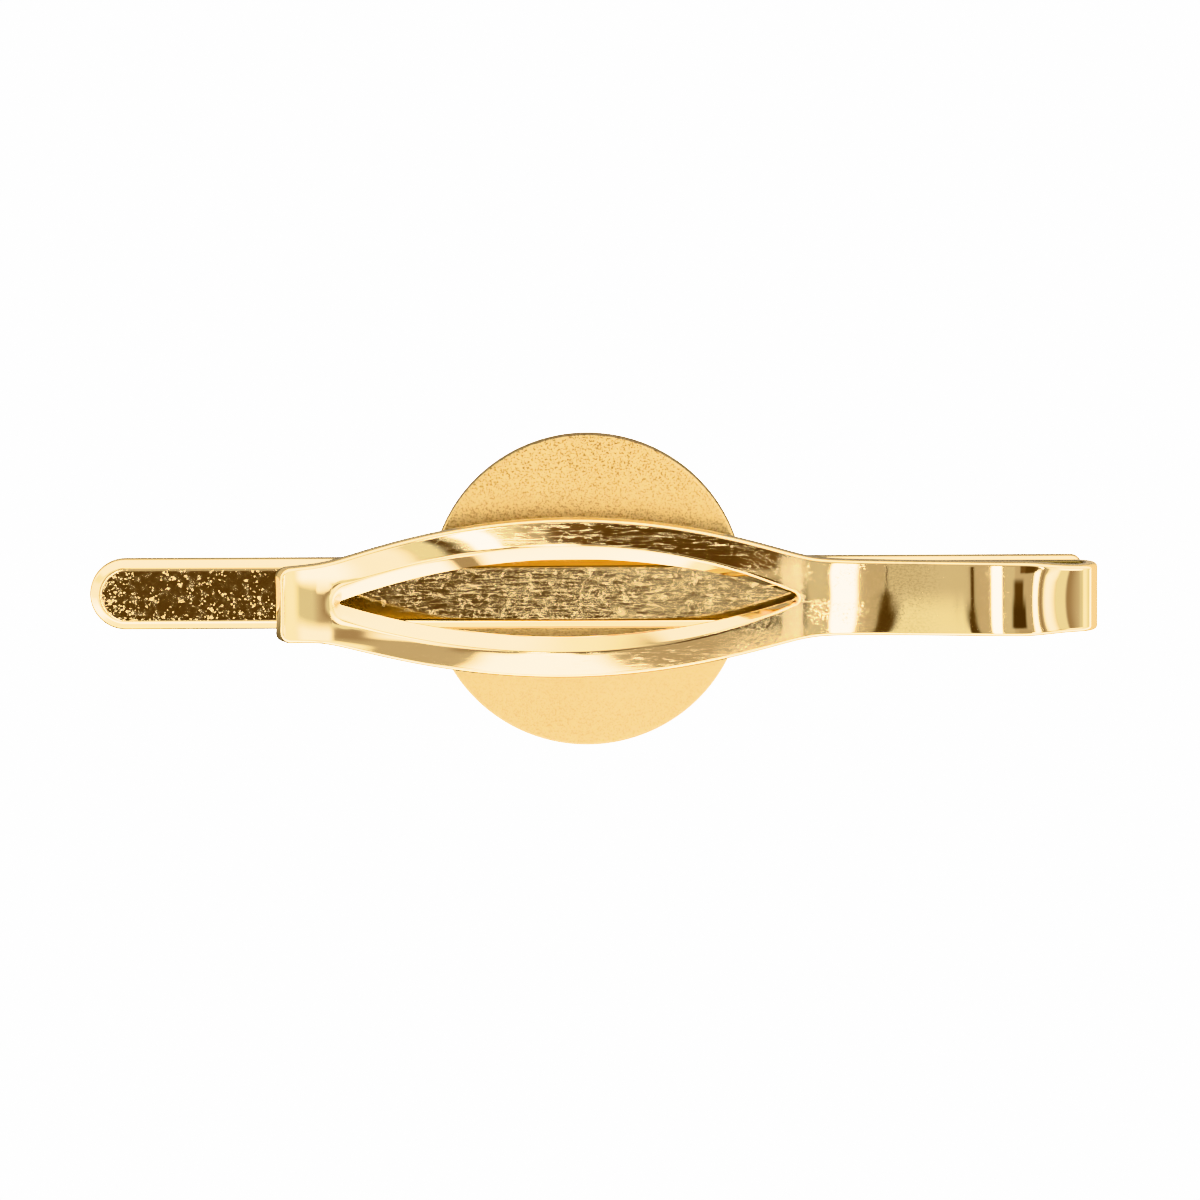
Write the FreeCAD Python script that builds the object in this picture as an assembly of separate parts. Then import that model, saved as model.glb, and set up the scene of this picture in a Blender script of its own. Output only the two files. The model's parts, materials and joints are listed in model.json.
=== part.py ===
import FreeCAD, Part
import math
import os

# Tie clip, seen from its back. The clip lies on the front of its disc.
# X runs along the bar towards the fold, Y across it, Z from the front to the back.
# The origin is under the middle of the clip. All lengths are in millimetres.

# Whole clip
clip_length = 54.4

# Disc on the front of the bar
disc_diameter = 17.0
disc_thickness = 1.2
disc_offset = -0.33
disc_rim_width = 0.8
disc_rim_height = 0.25
disc_edge_bevel = 0.16

# Front bar
bar_width = 3.9
bar_thickness = 1.0
bar_bevel_width = 0.5
bar_bevel_depth = 0.26
bar_front_radius = 0.2
bar_corner_radius = 0.6
bar_corner_bevelled_radius = 0.2
bend_overhang = 0.8

# Solder films
solder_thickness = 0.06
disc_solder_inset = 0.35
foot_solder_inset = 0.45

# Spring strip: thickness, foot and bend
strip_thickness = 0.8
strip_edge_bevel = 0.13
foot_width = 3.65
foot_length = 9.4
bend_inner_radius = 0.42
crown_radius = 13.8
crest_reach = 3.76

# Spring arm, side view: reaches run from the fold's outside, setbacks from the tip, heights from the crest
arm_reach = 43.9
arm_width = 4.05
arm_taper_length = 3.2
brow_reach = 6.4
brow_drop = 0.15
fall_reach = 11.3
fall_drop = 0.63
shoulder_reach = 15.2
shoulder_drop = 0.925
dip_reach = 21.3
dip_drop = 1.077
eye_setback = 15.35
eye_drop = 0.93
waist_setback = 9.7
waist_drop = 0.545
neck_setback = 3.1
neck_rise = 0.285
lip_setback = 1.5
lip_rise = 0.62
tip_rise = 1.24
tip_angle_deg = 33.0
tip_corner_radius = 0.6

# Eye of the spring arm, in plan
eye_length = 24.45
eye_width = 4.3
eye_outer_width = 8.66
eye_outer_radius = 36.8
eye_blend = 0.4
eye_crown = 0.34
crown_level_share = 0.75
eye_heel_radius = 0.2
eye_nose_radius = 0.14

# Bevel round the eye, on the arm's outer face
bevel_width = 0.78
bevel_heel_width = 0.18
bevel_nose_width = 0.5
bevel_depth = 0.46
bevel_heel_radius = 0.36
bevel_nose_radius = 1.05

# Drawing aids
overrun = 0.3
cutter_tip = 0.03
arm_stations = 33
bevel_stations = 25
halvings = 40

# Places worked out from the sizes above
fold_x = clip_length / 2
bar_left_x = -clip_length / 2
bar_right_x = fold_x - bend_overhang
bar_front_z = disc_thickness + solder_thickness
bar_back_z = bar_front_z + bar_thickness
foot_z = bar_back_z + solder_thickness
foot_top_z = foot_z + strip_thickness
bend_radius = bend_inner_radius + strip_thickness
bend_x = fold_x - bend_radius
bend_z = foot_z + bend_radius
foot_left_x = bend_x - foot_length
tip_x = fold_x - arm_reach
eye_x = tip_x + eye_setback

# The bevel's flanks run on past the arm's face by the overrun, and the bevel flares by as much.
flare = (bevel_depth + overrun) / bevel_depth
flare_heel_width = bevel_heel_width * flare
flare_nose_width = bevel_nose_width * flare

# Heel, nose, half width, heel radius and nose radius of the eye, and of the flared bevel round it
eye_sizes = (eye_length / 2, eye_length / 2, eye_width / 2, eye_heel_radius, eye_nose_radius)
flare_sizes = (
    eye_length / 2 + flare_heel_width,
    eye_length / 2 + flare_nose_width,
    eye_width / 2 + bevel_width * flare,
    eye_heel_radius + (bevel_heel_radius - eye_heel_radius) * flare,
    eye_nose_radius + (bevel_nose_radius - eye_nose_radius) * flare,
)

# The crown rolls into the bend, so the crest's height follows from their radii.
crown_run = crest_reach - bend_radius
crown_fall = math.sqrt((crown_radius - bend_radius) ** 2 - crown_run ** 2)
crest_z = foot_z + crown_radius + bend_radius - crown_fall
bend_lean = math.asin(crown_run / (crown_radius - bend_radius))
arm_start_x = bend_x + bend_radius * math.sin(bend_lean)
arm_start_z = bend_z + bend_radius * math.cos(bend_lean)


def point(x, y, z):
    return FreeCAD.Vector(x, y, z)


def line(start, end):
    return Part.LineSegment(start, end).toShape()


def arc(start, through, end):
    return Part.Arc(start, through, end).toShape()


def bezier(*poles):
    curve = Part.BezierCurve()
    curve.setPoles(list(poles))
    return curve.toShape()


def bar_outline(inset, corner_radius, height):
    """The bar's plan: a full-round left end and a square right end with rounded corners."""
    half = bar_width / 2 - inset
    left = bar_left_x + inset
    right = bar_right_x - inset
    turn = left + half
    diagonal = corner_radius * (1 - math.sqrt(0.5))
    run = right - corner_radius
    rise = half - corner_radius

    def at(x, y):
        return point(x, y, height)

    return Part.Wire([
        line(at(turn, half), at(run, half)),
        arc(at(run, half), at(right - diagonal, half - diagonal), at(right, rise)),
        line(at(right, rise), at(right, -rise)),
        arc(at(right, -rise), at(right - diagonal, diagonal - half), at(run, -half)),
        line(at(run, -half), at(turn, -half)),
        arc(at(turn, -half), at(left, 0), at(turn, half)),
    ])


def make_front_bar():
    """The flat bar, with a wide bevel round its back face and eased edges on its front."""
    straight = bar_thickness - bar_bevel_depth
    base = Part.Face(bar_outline(0, bar_corner_radius, bar_front_z)).extrude(point(0, 0, straight))
    front_edges = [e for e in base.Edges if e.BoundBox.ZMax < bar_front_z + bar_front_radius / 2]
    base = base.makeFillet(bar_front_radius, front_edges)
    shoulder = bar_outline(0, bar_corner_radius, bar_front_z + straight)
    back = bar_outline(bar_bevel_width, bar_corner_bevelled_radius, bar_back_z)
    return base.fuse(Part.makeLoft([shoulder, back], True, True)).removeSplitter()


def make_badge_disc():
    """A round plate with a flat back and, on its front, a plain field inside a low rim."""
    radius = disc_diameter / 2
    field = radius - disc_rim_width
    edge = disc_edge_bevel
    profile = Part.makePolygon([
        point(0, 0, disc_rim_height),
        point(field, 0, disc_rim_height),
        point(field + edge, 0, 0),
        point(radius - edge, 0, 0),
        point(radius, 0, edge),
        point(radius, 0, disc_thickness - edge),
        point(radius - edge, 0, disc_thickness),
        point(0, 0, disc_thickness),
        point(0, 0, disc_rim_height),
    ])
    disc = Part.Face(profile).revolve(point(0, 0, 0), point(0, 0, 1), 360)
    disc.translate(point(disc_offset, 0, 0))
    return disc


def make_disc_solder():
    """The film between disc and bar: as wide as the bar and as long as the disc, drawn in a little."""
    film = Part.makeCylinder(disc_diameter / 2 - disc_solder_inset, solder_thickness)
    width = bar_width - 2 * disc_solder_inset
    strip = Part.makeBox(disc_diameter, width, solder_thickness, point(-disc_diameter / 2, -width / 2, 0))
    film = film.common(strip)
    film.translate(point(disc_offset, 0, disc_thickness))
    return film


def make_foot_solder():
    """The film between the bar's back and the strip's foot."""
    length = foot_length - 2 * foot_solder_inset
    width = foot_width - 2 * foot_solder_inset
    corner = point(foot_left_x + foot_solder_inset, -width / 2, bar_back_z)
    return Part.makeBox(length, width, solder_thickness, corner)


def bow_height(across, half_width, crown):
    """How far a bowed face stands over its level, which it meets at a share of the half width."""
    return crown * (crown_level_share ** 2 - (across / half_width) ** 2)


def strip_section(origin, normal, half_width, crown):
    """The strip's cross-section as a wire: bevelled edges, and faces that bow by crown."""
    flat = half_width - strip_edge_bevel
    face = bow_height(flat, half_width, crown)
    pole = face + 2 * crown * (flat / half_width) ** 2
    under = -strip_thickness

    def at(across, up):
        return origin + point(0, across, 0) + normal * up

    top_left = at(-flat, face)
    top_right = at(flat, face)
    right_above = at(half_width, face - strip_edge_bevel)
    right_below = at(half_width, face + under + strip_edge_bevel)
    under_right = at(flat, face + under)
    under_left = at(-flat, face + under)
    left_below = at(-half_width, face + under + strip_edge_bevel)
    left_above = at(-half_width, face - strip_edge_bevel)
    return Part.Wire([
        bezier(top_left, at(0, pole), top_right),
        line(top_right, right_above),
        line(right_above, right_below),
        line(right_below, under_right),
        bezier(under_right, at(0, pole + under), under_left),
        line(under_left, left_below),
        line(left_below, left_above),
        line(left_above, top_left),
    ])


def make_spring_foot():
    """The flat foot of the strip, on the bar's back, cut square at its end."""
    section = strip_section(point(foot_left_x, 0, foot_top_z), point(0, 0, 1), foot_width / 2, 0)
    return Part.Face(section).extrude(point(foot_length, 0, 0))


def make_spring_bend():
    """The tight fold: the strip's section turned about the fold's own axis."""
    section = strip_section(point(bend_x, 0, foot_top_z), point(0, 0, 1), foot_width / 2, 0)
    turn_deg = 180 - math.degrees(bend_lean)
    return Part.Face(section).revolve(point(bend_x, 0, bend_z), point(0, -1, 0), turn_deg)


def arm_profile():
    """The arm's outer face in side view, from the bend to the tip of the lip."""
    start = point(arm_start_x, 0, arm_start_z)
    stations = [
        (fold_x - crest_reach, 0),
        (fold_x - brow_reach, -brow_drop),
        (fold_x - fall_reach, -fall_drop),
        (fold_x - shoulder_reach, -shoulder_drop),
        (fold_x - dip_reach, -dip_drop),
        (eye_x, -eye_drop),
        (tip_x + waist_setback, -waist_drop),
        (tip_x + neck_setback, neck_rise),
        (tip_x + lip_setback, lip_rise),
        (tip_x, tip_rise),
    ]
    points = [start] + [point(x, 0, crest_z + rise) for x, rise in stations]
    first = point(-math.cos(bend_lean), 0, math.sin(bend_lean))
    last_angle = math.radians(tip_angle_deg)
    last = point(-math.cos(last_angle), 0, math.sin(last_angle))
    curve = Part.BSplineCurve()
    curve.interpolate(Points=points, InitialTangent=first, FinalTangent=last)
    return curve


def arm_half_width(x):
    """Half the arm's width: the tapered strip, swelled into an arc on each side of the eye."""
    into_taper = min(1, max(0, (arm_start_x - x) / arm_taper_length))
    ease = into_taper * into_taper * (3 - 2 * into_taper)
    strip = (foot_width + (arm_width - foot_width) * ease) / 2
    swell = eye_outer_width / 2 - (x - eye_x) ** 2 / (2 * eye_outer_radius)
    return (strip + swell + math.sqrt((strip - swell) ** 2 + eye_blend ** 2)) / 2


def arm_crown(half_width):
    """How far the arm's face is bowed: not at all on the plain strip, most in the middle of the eye."""
    return eye_crown * max(0, (2 * half_width - arm_width) / (eye_outer_width - arm_width))


def almond_side(reach, half_width, tip_radius):
    """One half of an almond of tangent arcs: the side's radius, and how far out the tip's arc begins."""
    centre = reach - tip_radius
    radius = (centre ** 2 + half_width ** 2 - tip_radius ** 2) / (2 * (half_width - tip_radius))
    return radius, radius * centre / math.hypot(centre, radius - half_width)


def almond_half_width(x, heel, nose, half_width, heel_radius, nose_radius):
    """Half the almond's width at x, and zero outside it."""
    offset = abs(x - eye_x)
    reach = heel if x > eye_x else nose
    tip_radius = heel_radius if x > eye_x else nose_radius
    radius, touch = almond_side(reach, half_width, tip_radius)
    if offset <= touch:
        return half_width - radius + math.sqrt(radius ** 2 - offset ** 2)
    return math.sqrt(max(0, tip_radius ** 2 - (offset - reach + tip_radius) ** 2))


def eye_outline(heel, nose, half_width, heel_radius, nose_radius, height):
    """The almond as a wire: heel towards the fold, nose towards the lip."""
    sizes = (heel, nose, half_width, heel_radius, nose_radius)

    def at(offset, side):
        x = eye_x + offset
        return point(x, side * almond_half_width(x, *sizes), height)

    heel_touch = almond_side(heel, half_width, heel_radius)[1]
    nose_touch = almond_side(nose, half_width, nose_radius)[1]
    return Part.Wire([
        arc(at(0, 1), at(heel_touch / 2, 1), at(heel_touch, 1)),
        arc(at(heel_touch, 1), at(heel, 0), at(heel_touch, -1)),
        arc(at(heel_touch, -1), at(heel_touch / 2, -1), at(0, -1)),
        arc(at(0, -1), at(-nose_touch / 2, -1), at(-nose_touch, -1)),
        arc(at(-nose_touch, -1), at(-nose, 0), at(-nose_touch, 1)),
        arc(at(-nose_touch, 1), at(-nose_touch / 2, 1), at(0, 1)),
    ])


def make_eye_punch():
    """The solid that pierces the eye: a straight almond, longer than the arm is deep."""
    low = crest_z - dip_drop - strip_thickness - overrun
    high = crest_z + tip_rise + overrun
    outline = eye_outline(*eye_sizes, low)
    return Part.Face(outline).extrude(point(0, 0, high - low))


def height_at(curve, x):
    """The height of the side profile at x, found by halving."""
    first = curve.FirstParameter
    last = curve.LastParameter
    for _ in range(halvings):
        middle = (first + last) / 2
        if curve.value(middle).x > x:
            first = middle
        else:
            last = middle
    return curve.value(first).z


def bevel_section(curve, x):
    """The bevel cutter across the arm at x: its flanks lie on the bevel and run on past the face."""
    half = eye_length / 2
    beyond = max(0, (x - eye_x - half) / flare_heel_width, (eye_x - half - x) / flare_nose_width)
    width = arm_half_width(x)
    crown = arm_crown(width)
    inner = max(cutter_tip, almond_half_width(x, *eye_sizes))
    outer = almond_half_width(x, *flare_sizes)
    top_z = height_at(curve, x) + overrun
    inner_z = top_z + bow_height(inner, width, crown) - (bevel_depth + overrun) * (1 - beyond)
    outer_z = top_z + bow_height(outer, width, crown)
    corners = [
        point(x, inner, inner_z),
        point(x, outer, outer_z),
        point(x, -outer, outer_z),
        point(x, -inner, inner_z),
    ]
    return Part.makePolygon(corners + corners[:1])


def make_bevel_cutter(curve):
    """The solid that bevels the eye, lofted along the side profile, with closer stations at its tips."""
    heel_x = eye_x + eye_length / 2 + flare_heel_width - cutter_tip
    nose_x = eye_x - eye_length / 2 - flare_nose_width + cutter_tip
    sections = []
    for i in range(bevel_stations):
        share = (1 - math.cos(math.pi * i / (bevel_stations - 1))) / 2
        sections.append(bevel_section(curve, heel_x + (nose_x - heel_x) * share))
    return Part.makeLoft(sections, True, True)


def strip_normal(tangent):
    return point(tangent.z, 0, -tangent.x)


def make_tip_corner(tip, tangent, half_width, side):
    """The waste outside one rounded corner of the lip, square to the strip."""
    normal = strip_normal(tangent)

    def at(back, across):
        return tip - tangent * back + point(0, side * across, 0) + normal * overrun

    inner = half_width - tip_corner_radius
    diagonal = tip_corner_radius * (1 - math.sqrt(0.5))
    outline = Part.Wire([
        arc(at(tip_corner_radius, half_width), at(diagonal, half_width - diagonal), at(0, inner)),
        line(at(0, inner), at(-overrun, inner)),
        line(at(-overrun, inner), at(-overrun, half_width + overrun)),
        line(at(-overrun, half_width + overrun), at(tip_corner_radius, half_width + overrun)),
        line(at(tip_corner_radius, half_width + overrun), at(tip_corner_radius, half_width)),
    ])
    return Part.Face(outline).extrude(normal * -(strip_thickness + 2 * overrun))


def make_spring_arm():
    """The arm: a strip lofted along its side profile, pierced by the eye, with an upturned lip."""
    curve = arm_profile()
    first = curve.FirstParameter
    last = curve.LastParameter
    sections = []
    for i in range(arm_stations):
        parameter = first + (last - first) * i / (arm_stations - 1)
        origin = curve.value(parameter)
        tangent = curve.tangent(parameter)[0]
        half_width = arm_half_width(origin.x)
        sections.append(strip_section(origin, strip_normal(tangent), half_width, arm_crown(half_width)))
    arm = Part.makeLoft(sections, True, False).cut(make_eye_punch()).cut(make_bevel_cutter(curve))
    for side in (1, -1):
        arm = arm.cut(make_tip_corner(origin, tangent, half_width, side))
    return arm


makers = {
    "front_bar": make_front_bar,
    "badge_disc": make_badge_disc,
    "disc_solder": make_disc_solder,
    "foot_solder": make_foot_solder,
    "spring_foot": make_spring_foot,
    "spring_bend": make_spring_bend,
    "spring_arm": make_spring_arm,
}

os.makedirs("parts", exist_ok=True)
for name, make in makers.items():
    shape = make()
    shape.exportStep("parts/" + name + ".step")
    print(name, "valid", shape.isValid(), "solids", len(shape.Solids), "volume", round(shape.Volume, 3))
print("fold axis x", round(bend_x, 4), "z", round(bend_z, 4), "crest z", round(crest_z, 4))
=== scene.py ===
import json
import math

import bmesh
import bpy
import numpy as np
from mathutils import Matrix, Vector


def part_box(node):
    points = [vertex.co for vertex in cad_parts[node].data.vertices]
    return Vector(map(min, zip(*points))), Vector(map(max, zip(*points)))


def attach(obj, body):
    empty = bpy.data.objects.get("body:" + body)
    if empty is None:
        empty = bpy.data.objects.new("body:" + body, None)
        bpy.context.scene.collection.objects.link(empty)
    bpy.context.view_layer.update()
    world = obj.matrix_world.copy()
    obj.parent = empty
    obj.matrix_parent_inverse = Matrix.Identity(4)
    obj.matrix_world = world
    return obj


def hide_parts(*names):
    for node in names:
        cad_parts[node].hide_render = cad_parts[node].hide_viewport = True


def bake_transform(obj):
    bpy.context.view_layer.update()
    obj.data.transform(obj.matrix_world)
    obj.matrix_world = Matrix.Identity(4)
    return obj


# Tie clip seen from its back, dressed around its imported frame.
# The frame is in metres. Shapes are worked out in millimetres, and MM brings them back to metres.

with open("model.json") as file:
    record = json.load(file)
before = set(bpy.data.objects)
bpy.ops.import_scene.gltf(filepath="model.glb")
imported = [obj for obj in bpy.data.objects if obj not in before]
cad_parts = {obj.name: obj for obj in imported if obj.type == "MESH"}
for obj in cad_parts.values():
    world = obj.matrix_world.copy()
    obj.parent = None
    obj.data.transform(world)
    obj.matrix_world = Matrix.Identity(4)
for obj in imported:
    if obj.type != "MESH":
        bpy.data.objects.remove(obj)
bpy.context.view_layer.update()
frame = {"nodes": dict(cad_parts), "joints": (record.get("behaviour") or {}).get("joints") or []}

MM = 0.001
STRIP_PLACE = "strip_place"


def box_mm(node):
    """The lowest and the highest corner of a node's box, in millimetres."""
    low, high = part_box(node)
    return low / MM, high / MM


# Places taken from the frame
bar_low, bar_high = box_mm("front_bar")
disc_low, disc_high = box_mm("badge_disc")
foot_low, foot_high = box_mm("spring_foot")
fold_x = box_mm("spring_bend")[1].x
strip_thickness = foot_high.z - foot_low.z
hinge = Vector(frame["joints"][0]["pos_m"]) / MM
bend_radius = fold_x - hinge.x
foot_width = foot_high.y - foot_low.y

# Spring arm in side view: reaches run from the fold's outside, setbacks from the tip,
# drops and rises from the height of the crest
arm_reach = 43.9
arm_width = 4.05
arm_taper_length = 3.2
crown_radius = 13.8
crest_reach = 3.76
brow_reach = 6.4
brow_drop = 0.15
fall_reach = 11.3
fall_drop = 0.63
shoulder_reach = 15.2
shoulder_drop = 0.925
dip_reach = 21.3
dip_drop = 1.077
eye_setback = 15.35
eye_drop = 0.93
waist_setback = 9.7
waist_drop = 0.545
neck_setback = 3.1
neck_rise = 0.285
lip_setback = 1.5
lip_rise = 0.62
tip_rise = 1.24
tip_angle_deg = 33.0
tip_corner_radius = 0.6

# Eye of the spring arm, and the bevel round it
eye_length = 24.45
eye_width = 4.3
eye_outer_width = 8.66
eye_outer_radius = 36.8
eye_blend = 0.4
eye_heel_radius = 0.2
eye_nose_radius = 0.14
bevel_width = 0.78
bevel_heel_width = 0.18
bevel_nose_width = 0.5
bevel_depth = 0.46
bevel_heel_radius = 0.36
bevel_nose_radius = 1.05

# Face of the strip: its crown across, and the soft creases round the bevel
eye_crown = 0.29
face_crown = 0.05
level_share = 0.75
strip_shoulder_drop = 0.05
strip_shoulder_power = 6
crease_softness = 0.12
nose_crease_softness = 0.4
nose_crease_reach = 2.0
bevel_column_spread = 0.35

# Two faint waves of the face, placed by length along the strip. They bend its reflections
pinch_length = 23.45
pinch_reach = 0.6
pinch_depth = 0.0022
pinch_side = (0.1, 0.9)
ridge_length = 18.82
ridge_reach = 0.7
ridge_height = 0.0012

# Eased edges of the strip
strip_edge_radius = 0.23
strip_under_radius = 0.12
eye_under_radius = 0.08
tip_edge_radius = 0.2

# Bar and disc
bar_bevel_width = 0.5
bar_bevel_depth = 0.36
bar_corner_radius = 0.6
bar_least_corner = 0.05
bar_edge_radius = 0.26
bar_crest_radius = 0.36
bar_front_radius = 0.2
disc_edge_radius = 0.14
disc_rim_width = 0.8
disc_rim_height = 0.25

# Fineness of the meshes: steps in millimetres, counts of points, and shares at which columns lie
weld_distance = 1e-4
sharp_angle_deg = 40.0
least_reach = 1e-3
edge_count = 7
foot_count = 30
foot_start = 0.5
fold_count = 64
profile_count = 6000
arm_start = 0.1
arm_step = 0.14
station_digits = 4
apex_count = 14
apex_step = 0.03
apex_margin = 0.1
nose_inside = 0.5
heel_inside = 0.4
halvings = 24
halving_margin = 1e-5
bevel_columns = np.array([0, 0.04, 0.12, 0.3, 0.5, 0.7, 0.82, 0.9, 0.95])
face_columns = np.array([0, 0.03, 0.07, 0.13, 0.22, 0.34, 0.48, 0.62, 0.76, 0.88, 0.96, 1])
under_columns = np.linspace(1, 0, 9)
wall_columns = np.array([0.3, 0.7, 0.93])
bar_round_count = 49
bar_corner_count = 9
bar_run_count = 41
bar_end_count = 7
bar_ease_count = 6
bar_front_share = 3
bar_bevel_columns = (0.3, 0.55, 0.75)
bar_back_margin = 0.1
disc_count = 192
disc_field_columns = (0.02, 0.5, 0.98)
disc_back_columns = (0.96, 0.8, 0.5, 0.02)

# Zones of wear on the strip, by length along it from the foot's end
legs_worn_to = 41.0
legs_clear_from = 45.5
stain_span = (22.0, 23.0)
heel_span = (26.0, 31.0)
heel_line_span = (28.3, 28.9)
low_heel_span = (28.3, 30.0)
nose_wear_span = (52.9, 53.4)
pinch_wear_half = 0.04

# Tones
strip_deep = (0.94, 0.73, 0.38, 1)
strip_pale = (0.97, 0.77, 0.43, 1)
strip_stain = (0.5, 0.36, 0.15, 1)
# Painted shade for the strip's underside: darkest in its middle above the bar, lighter at its
# sides
strip_under_shade_middle = (0.15, 0.105, 0.035, 1)
strip_under_shade_side = (0.7, 0.53, 0.24, 1)
bar_bright = (0.95, 0.74, 0.4, 1)
bar_worn = (0.72, 0.52, 0.23, 1)
satin_deep = (0.525, 0.37, 0.157, 1)
satin_pale = (0.606, 0.442, 0.2, 1)
satin_pit = (0.2, 0.115, 0.035, 1)
solder_deep = (0.55, 0.42, 0.24, 1)
solder_pale = (0.72, 0.58, 0.36, 1)
# Painted shade of the floor as the clip reflects it: uneven grey, darker near the clip, paler
# towards +X
floor_shade_deep = (0.21, 0.185, 0.15, 1)
floor_shade_pale = (0.24, 0.21, 0.17, 1)
floor_shade_near = (0.04, 0.03, 0.02, 1)
floor_shade_right = (0.42, 0.36, 0.28, 1)
floor_seen = (0.02, 0.02, 0.02, 1)

# Places that follow
tip_x = fold_x - arm_reach
eye_x = tip_x + eye_setback
eye_heel_x = eye_x + eye_length / 2
eye_nose_x = eye_x - eye_length / 2
bevel_heel_x = eye_heel_x + bevel_heel_width
bevel_nose_x = eye_nose_x - bevel_nose_width
crown_run = crest_reach - bend_radius
bend_lean = math.asin(crown_run / (crown_radius - bend_radius))
bend_end_x = hinge.x + bend_radius * math.sin(bend_lean)
bend_end_z = hinge.z + bend_radius * math.cos(bend_lean)
crest_z = (foot_low.z + crown_radius + bend_radius
           - math.sqrt((crown_radius - bend_radius) ** 2 - crown_run ** 2))


def smoothstep(low, high, value):
    """Eases from 0 to 1 as value goes from low to high."""
    t = np.clip((value - low) / (high - low), 0, 1)
    return t * t * (3 - 2 * t)


def peak(value, middle, reach):
    """One at middle, and straight down to zero at reach on either side."""
    return np.clip(1 - np.abs(value - middle) / reach, 0, 1)


def quarter_turn(count):
    """Angles from zero to a right angle."""
    return np.linspace(0, math.pi / 2, count)


def running_length(points):
    """The length along a chain of points, at each of them."""
    return np.concatenate([[0], np.cumsum(np.linalg.norm(np.diff(points, axis=0), axis=1))])


def link_object(name, mesh):
    """An object of the scene that shows mesh."""
    piece = bpy.data.objects.new(name, mesh)
    bpy.context.scene.collection.objects.link(piece)
    return piece


def make_mesh(name, points, faces, place=None):
    """A closed, smooth-shaded mesh in metres: near points are welded, and open ends capped."""
    mesh = bpy.data.meshes.new(name)
    mesh.from_pydata(points.tolist(), [], faces)
    if place is not None:
        attribute = mesh.attributes.new(STRIP_PLACE, "FLOAT_VECTOR", "POINT")
        attribute.data.foreach_set("vector", place.astype(np.float32).ravel())
    work = bmesh.new()
    work.from_mesh(mesh)
    bmesh.ops.remove_doubles(work, verts=work.verts, dist=weld_distance)
    bmesh.ops.dissolve_degenerate(work, edges=work.edges, dist=weld_distance / 2)
    open_edges = [edge for edge in work.edges if edge.is_boundary]
    if open_edges:
        bmesh.ops.edgeloop_fill(work, edges=open_edges)
    bmesh.ops.recalc_face_normals(work, faces=work.faces)
    bmesh.ops.scale(work, vec=Vector((MM, MM, MM)), verts=work.verts)
    for face in work.faces:
        face.smooth = True
    work.to_mesh(mesh)
    work.free()
    mesh.set_sharp_from_angle(angle=math.radians(sharp_angle_deg))
    return mesh


def make_ringed(name, rings):
    """A piece whose skin runs from ring to ring, each with as many points as the first."""
    size = len(rings[0])
    faces = []
    for i in range(len(rings) - 1):
        for j in range(size):
            k = (j + 1) % size
            faces.append((i * size + j, i * size + k, (i + 1) * size + k, (i + 1) * size + j))
    return link_object(name, make_mesh(name, np.concatenate(rings), faces))


def smooth_curve(points, first, last, count):
    """Places and tangents on the cubic spline through points, from direction first to last."""
    points = np.array(points, float)
    chord = np.linalg.norm(np.diff(points, axis=0), axis=1)
    knots = running_length(points)
    size = len(points)
    matrix = np.zeros((size, size))
    right = np.zeros((size, points.shape[1]))
    matrix[0, 0] = matrix[-1, -1] = 1
    right[0] = first
    right[-1] = last
    for i in range(1, size - 1):
        before, after = chord[i - 1], chord[i]
        matrix[i, i - 1:i + 2] = after, 2 * (before + after), before
        right[i] = 3 * (before / after * (points[i + 1] - points[i])
                        + after / before * (points[i] - points[i - 1]))
    slopes = np.linalg.solve(matrix, right)
    at = np.linspace(0, knots[-1], count)
    span = np.clip(np.searchsorted(knots, at, side="right") - 1, 0, size - 2)
    step = chord[span][:, None]
    t = ((at - knots[span]) / chord[span])[:, None]
    start, end = points[span], points[span + 1]
    leave, arrive = slopes[span] * step, slopes[span + 1] * step
    place = ((2 * t ** 3 - 3 * t ** 2 + 1) * start + (t ** 3 - 2 * t ** 2 + t) * leave
             + (3 * t ** 2 - 2 * t ** 3) * end + (t ** 3 - t ** 2) * arrive)
    tangent = ((6 * t ** 2 - 6 * t) * (start - end) + (3 * t ** 2 - 4 * t + 1) * leave
               + (3 * t ** 2 - 2 * t) * arrive) / step
    return place, tangent / np.linalg.norm(tangent, axis=1)[:, None]


def arm_profile():
    """The arm's outer face in side view, from fold to tip: places (x, z), tangents and lengths."""
    rises = [
        (fold_x - crest_reach, 0),
        (fold_x - brow_reach, -brow_drop),
        (fold_x - fall_reach, -fall_drop),
        (fold_x - shoulder_reach, -shoulder_drop),
        (fold_x - dip_reach, -dip_drop),
        (eye_x, -eye_drop),
        (tip_x + waist_setback, -waist_drop),
        (tip_x + neck_setback, neck_rise),
        (tip_x + lip_setback, lip_rise),
        (tip_x, tip_rise),
    ]
    points = [(bend_end_x, bend_end_z)] + [(x, crest_z + rise) for x, rise in rises]
    end_angle = math.radians(tip_angle_deg)
    first = (-math.cos(bend_lean), math.sin(bend_lean))
    last = (-math.cos(end_angle), math.sin(end_angle))
    place, tangent = smooth_curve(points, first, last, profile_count)
    return place, tangent, running_length(place)


def almond_arcs(x, heel, nose, half_width, heel_radius, nose_radius):
    """The arcs of an almond about the eye's middle, on the side where x lies.

    They are given as how far x is from the middle, how far the almond reaches, the radius and the
    centre of its end, and the radius of its long side.
    """
    offset = x - eye_x
    reach = np.where(offset >= 0, heel, nose)
    tip = np.where(offset >= 0, heel_radius, nose_radius)
    centre = reach - tip
    radius = (centre ** 2 + half_width ** 2 - tip ** 2) / (2 * (half_width - tip))
    return np.abs(offset), reach, tip, centre, radius


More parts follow.
